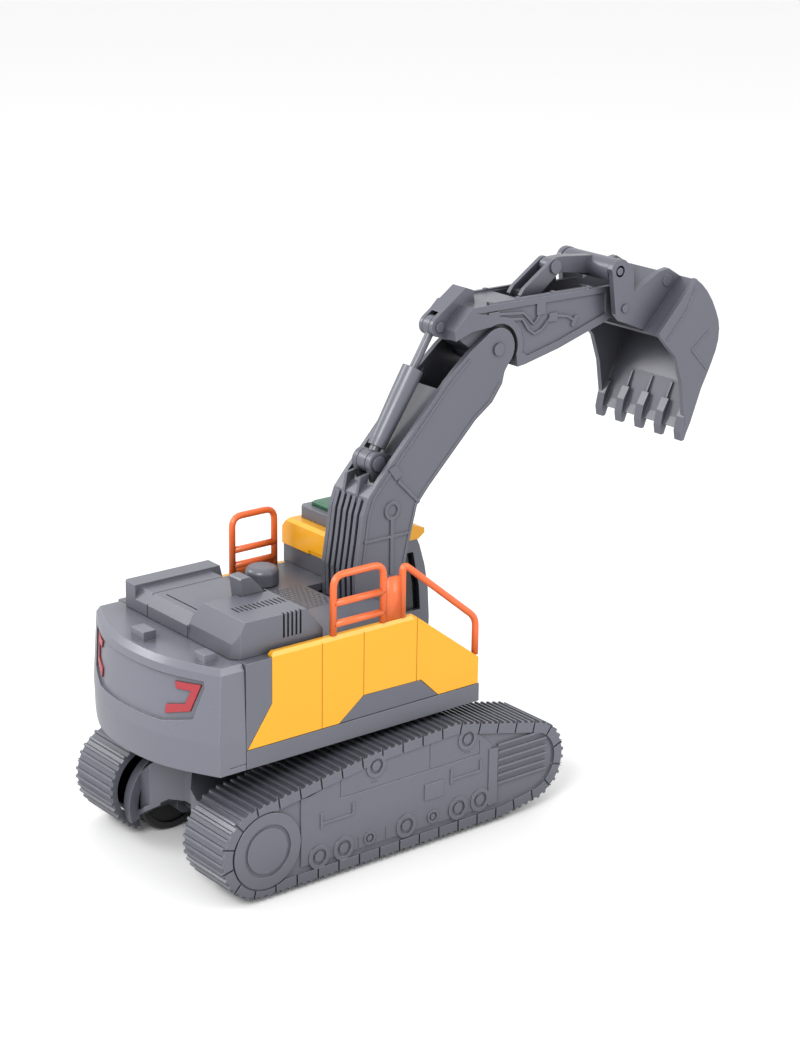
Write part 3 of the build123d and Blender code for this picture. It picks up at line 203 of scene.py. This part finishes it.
def metal(name, colour, rough=0.3):
    """Plated steel: the same finish with a metallic surface."""
    material = plastic(name, colour, rough=rough, edge=0.2, grain=0.25, variation=0.06)
    shader = material.node_tree.nodes["Principled BSDF"]
    shader.inputs["Metallic"].default_value = 1.0
    return material


SLATE = (0.125, 0.130, 0.158)
DARK = (0.112, 0.116, 0.145)
GREY = (0.150, 0.155, 0.190)

PLASTICS = {
    "slate_plastic": dict(colour=SLATE),
    # Stronger painted shade in recesses, such as inside the bucket
    "dark_slate_plastic": dict(colour=DARK, shade=0.62),
    "grey_plastic": dict(colour=GREY, rough=0.3),
    "yellow_plastic": dict(
        colour=(0.88, 0.40, 0.007), rough=0.30, edge=0.15, variation=0.03, shade=0.2
    ),
    "orange_plastic": dict(
        colour=(0.84, 0.145, 0.03), rough=0.32, edge=0.2, variation=0.04, shade=0.2
    ),
    "red_plastic": dict(colour=(0.38, 0.028, 0.04), rough=0.35, edge=0.1, variation=0.06),
    "green_plastic": dict(colour=(0.006, 0.115, 0.05), rough=0.30, edge=0.3),
    "black_plastic": dict(colour=(0.022, 0.022, 0.026), rough=0.40, edge=0.25),
    "arm_trim": dict(colour=DARK, rough=0.33),
    "tinted_glass": dict(colour=(0.012, 0.014, 0.018), rough=0.10, edge=0.0, grain=0.03),
    "circuit_board": dict(colour=(0.02, 0.16, 0.06), rough=0.35),
}
MATERIALS = {name: plastic(name, **look) for name, look in PLASTICS.items()}
MATERIALS["steel"] = metal("steel", (0.55, 0.55, 0.55))

for entry in frame["record"]["subparts"]:
    node = NODES[entry["node"]]
    node.data.materials.clear()
    node.data.materials.append(MATERIALS[entry["material_slot"]])

# ---------------------------------------------------------------- rounded edges

ROUND_STEPS = 3
SHARP_ANGLE = 35
# Radius in mm of each rounded piece
ROUNDED = {
    "hood": 0.35,
    "counterweight": 0.35,
    "exhaust_stack": 0.4,
    "cab_roof": 0.4,
    "boom": 0.22,
    "stick": 0.22,
    "bucket": 0.22,
    "panel_right": 0.25,
    "panel_left": 0.25,
}


def round_edges(node, width):
    """Small moulded radius on every sharp edge of a CAD node."""
    bevel = NODES[node].modifiers.new("radius", "BEVEL")
    bevel.width = width * MM
    bevel.segments = ROUND_STEPS
    bevel.limit_method = "ANGLE"
    bevel.angle_limit = math.radians(SHARP_ANGLE)
    bevel.use_clamp_overlap = True
    bevel.harden_normals = False


for name, width in ROUNDED.items():
    round_edges(name, width)

# ---------------------------------------------------------------- round handrails

# Millimetres from the slewing axis; SHIFT moves that axis to its place in the frame
SHIFT = -43.46
RAIL_Y = 39.6
RAIL_R = 1.3
RAIL_SIDES = 14
WEB_HALF = 0.8


def rounded(path, radius, steps=5):
    """Path in the side view with its inner corners turned into short arcs."""
    result = [Vector(path[0])]
    for before, corner, after in zip(path, path[1:], path[2:]):
        corner = Vector(corner)
        towards = (Vector(before) - corner).normalized()
        onwards = (Vector(after) - corner).normalized()
        for i in range(steps + 1):
            t = i / steps
            a = corner + towards * radius * (1 - t)
            b = corner + onwards * radius * t
            result.append(a * (1 - t) + b * t)
    result.append(Vector(path[-1]))
    return result


def add_tube(build, path, y, radius):
    """Round bar along an (x, z) path at constant y, closed at both ends."""
    rings = []
    for i, point in enumerate(path):
        before = path[max(i - 1, 0)]
        after = path[min(i + 1, len(path) - 1)]
        run = (after - before).normalized()
        side = Vector((-run.y, run.x))
        ring = []
        for k in range(RAIL_SIDES):
            angle = 2 * math.pi * k / RAIL_SIDES
            x = point.x + side.x * radius * math.cos(angle)
            z = point.y + side.y * radius * math.cos(angle)
            place = ((x + SHIFT) * MM, (y + radius * math.sin(angle)) * MM, z * MM)
            ring.append(build.verts.new(place))
        rings.append(ring)
    for a, b in zip(rings, rings[1:]):
        for k in range(RAIL_SIDES):
            m = (k + 1) % RAIL_SIDES
            build.faces.new((a[k], a[m], b[m], b[k]))
    build.faces.new(rings[0])
    build.faces.new(rings[-1][::-1])


def add_plate(build, x0, x1, z0, z1, y, half):
    """Flat web between two rails."""
    matrix = Matrix.Translation(((x0 + x1) / 2 * MM + SHIFT * MM, y * MM, (z0 + z1) / 2 * MM))
    scale = Matrix.Diagonal(((x1 - x0) * MM, 2 * half * MM, (z1 - z0) * MM, 1.0))
    bmesh.ops.create_cube(build, size=1.0, matrix=matrix @ scale)


def add_handrail(name, tubes, plates, y, node):
    """Round bars and flat webs in place of one square-edged CAD handrail."""
    build = bmesh.new()
    for path, radius in tubes:
        add_tube(build, rounded(path, radius), y, RAIL_R)
    for x0, x1, z0, z1 in plates:
        add_plate(build, x0, x1, z0, z1, y, WEB_HALF)
    bmesh.ops.recalc_face_normals(build, faces=build.faces)
    for face in build.faces:
        face.smooth = len(face.verts) == 4
    mesh = bpy.data.meshes.new(name)
    build.to_mesh(mesh)
    build.free()
    rail = bpy.data.objects.new(name, mesh)
    scene.collection.objects.link(rail)
    mesh.materials.append(MATERIALS["orange_plastic"])
    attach(rail, "house")
    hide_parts(node)


# Each bar: its (x, z) path and the radius of its bends
RIGHT_TUBES = (
    ([(-26.5, 90.2), (-26.5, 112.3), (-4.1, 112.3), (-4.1, 90.2)], 4.6),
    ([(-26.5, 101.9), (-4.1, 101.9)], 0.0),
    ([(-26.5, 94.1), (-4.1, 94.1)], 0.0),
    ([(4.7, 90.2), (4.7, 110.6), (39.7, 82.2), (39.7, 67.8)], 3.4),
)
LEFT_TUBES = (
    ([(-14.9, 88.4), (-14.9, 110.9), (4.7, 110.9), (4.7, 88.4)], 4.4),
    ([(-14.9, 97.5), (4.7, 97.5)], 0.0),
    ([(-14.9, 91.4), (4.7, 91.4)], 0.0),
)
# Each web: x0, x1, z0, z1
RIGHT_WEBS = [(-3.2, 4.2, 90.3, 106.4)]
LEFT_WEBS = [(-14.9, 4.7, 88.5, 91.4)]
add_handrail("rail_tubes_right", RIGHT_TUBES, RIGHT_WEBS, -RAIL_Y, "handrail_right")
add_handrail("rail_tubes_left", LEFT_TUBES, LEFT_WEBS, RAIL_Y, "handrail_left")

# ---------------------------------------------------------------- studio

FLOOR_HALF = 6.0
FLOOR_ROUGH = 0.6
FLOOR_BOUNCE = (0.55, 0.55, 0.55, 1.0)
FLOOR_SEEN = (0.92, 0.92, 0.92, 1.0)
SKY = (1.0, 1.0, 1.0, 1.0)
# Name, place, target, size in metres and power in watts
LIGHTS = (
    ("key", (-1.1, -0.7, 1.0), (0.0, 0.0, 0.06), 0.5, 13.0),
    ("fill", (0.9, -1.1, 0.7), (0.0, 0.0, 0.08), 0.8, 6.0),
    ("rim", (-0.8, 0.9, 0.9), (0.0, 0.0, 0.1), 0.5, 6.0),
)


def add_floor():
    mesh = bpy.data.meshes.new("floor")
    build = bmesh.new()
    bmesh.ops.create_grid(build, x_segments=2, y_segments=2, size=FLOOR_HALF)
    build.to_mesh(mesh)
    build.free()
    floor = bpy.data.objects.new("floor", mesh)
    scene.collection.objects.link(floor)
    material = bpy.data.materials.new("floor")
    material.use_nodes = True
    tree = material.node_tree
    shader = tree.nodes["Principled BSDF"]
    shader.inputs["Roughness"].default_value = FLOOR_ROUGH
    # White to the eye, but throwing only a little light back up at the toy
    ray = tree.nodes.new("ShaderNodeLightPath")
    tint = tree.nodes.new("ShaderNodeMix")
    tint.data_type = "RGBA"
    tint.inputs["A"].default_value = FLOOR_BOUNCE
    tint.inputs["B"].default_value = FLOOR_SEEN
    tree.links.new(ray.outputs["Is Camera Ray"], tint.inputs["Factor"])
    tree.links.new(tint.outputs["Result"], shader.inputs["Base Color"])
    mesh.materials.append(material)


def add_area(name, place, target, size, power):
    data = bpy.data.lights.new(name, "AREA")
    data.shape = "SQUARE"
    data.size = size
    data.energy = power
    light = bpy.data.objects.new(name, data)
    scene.collection.objects.link(light)
    direction = Vector(target) - Vector(place)
    turn = direction.to_track_quat("-Z", "Y").to_matrix().to_4x4()
    light.matrix_world = Matrix.Translation(place) @ turn


add_floor()
world = bpy.data.worlds.new("world")
scene.world = world
world.use_nodes = True
sky = world.node_tree.nodes["Background"]
sky.inputs["Color"].default_value = SKY
sky.inputs["Strength"].default_value = 1.0
for light in LIGHTS:
    add_area(*light)
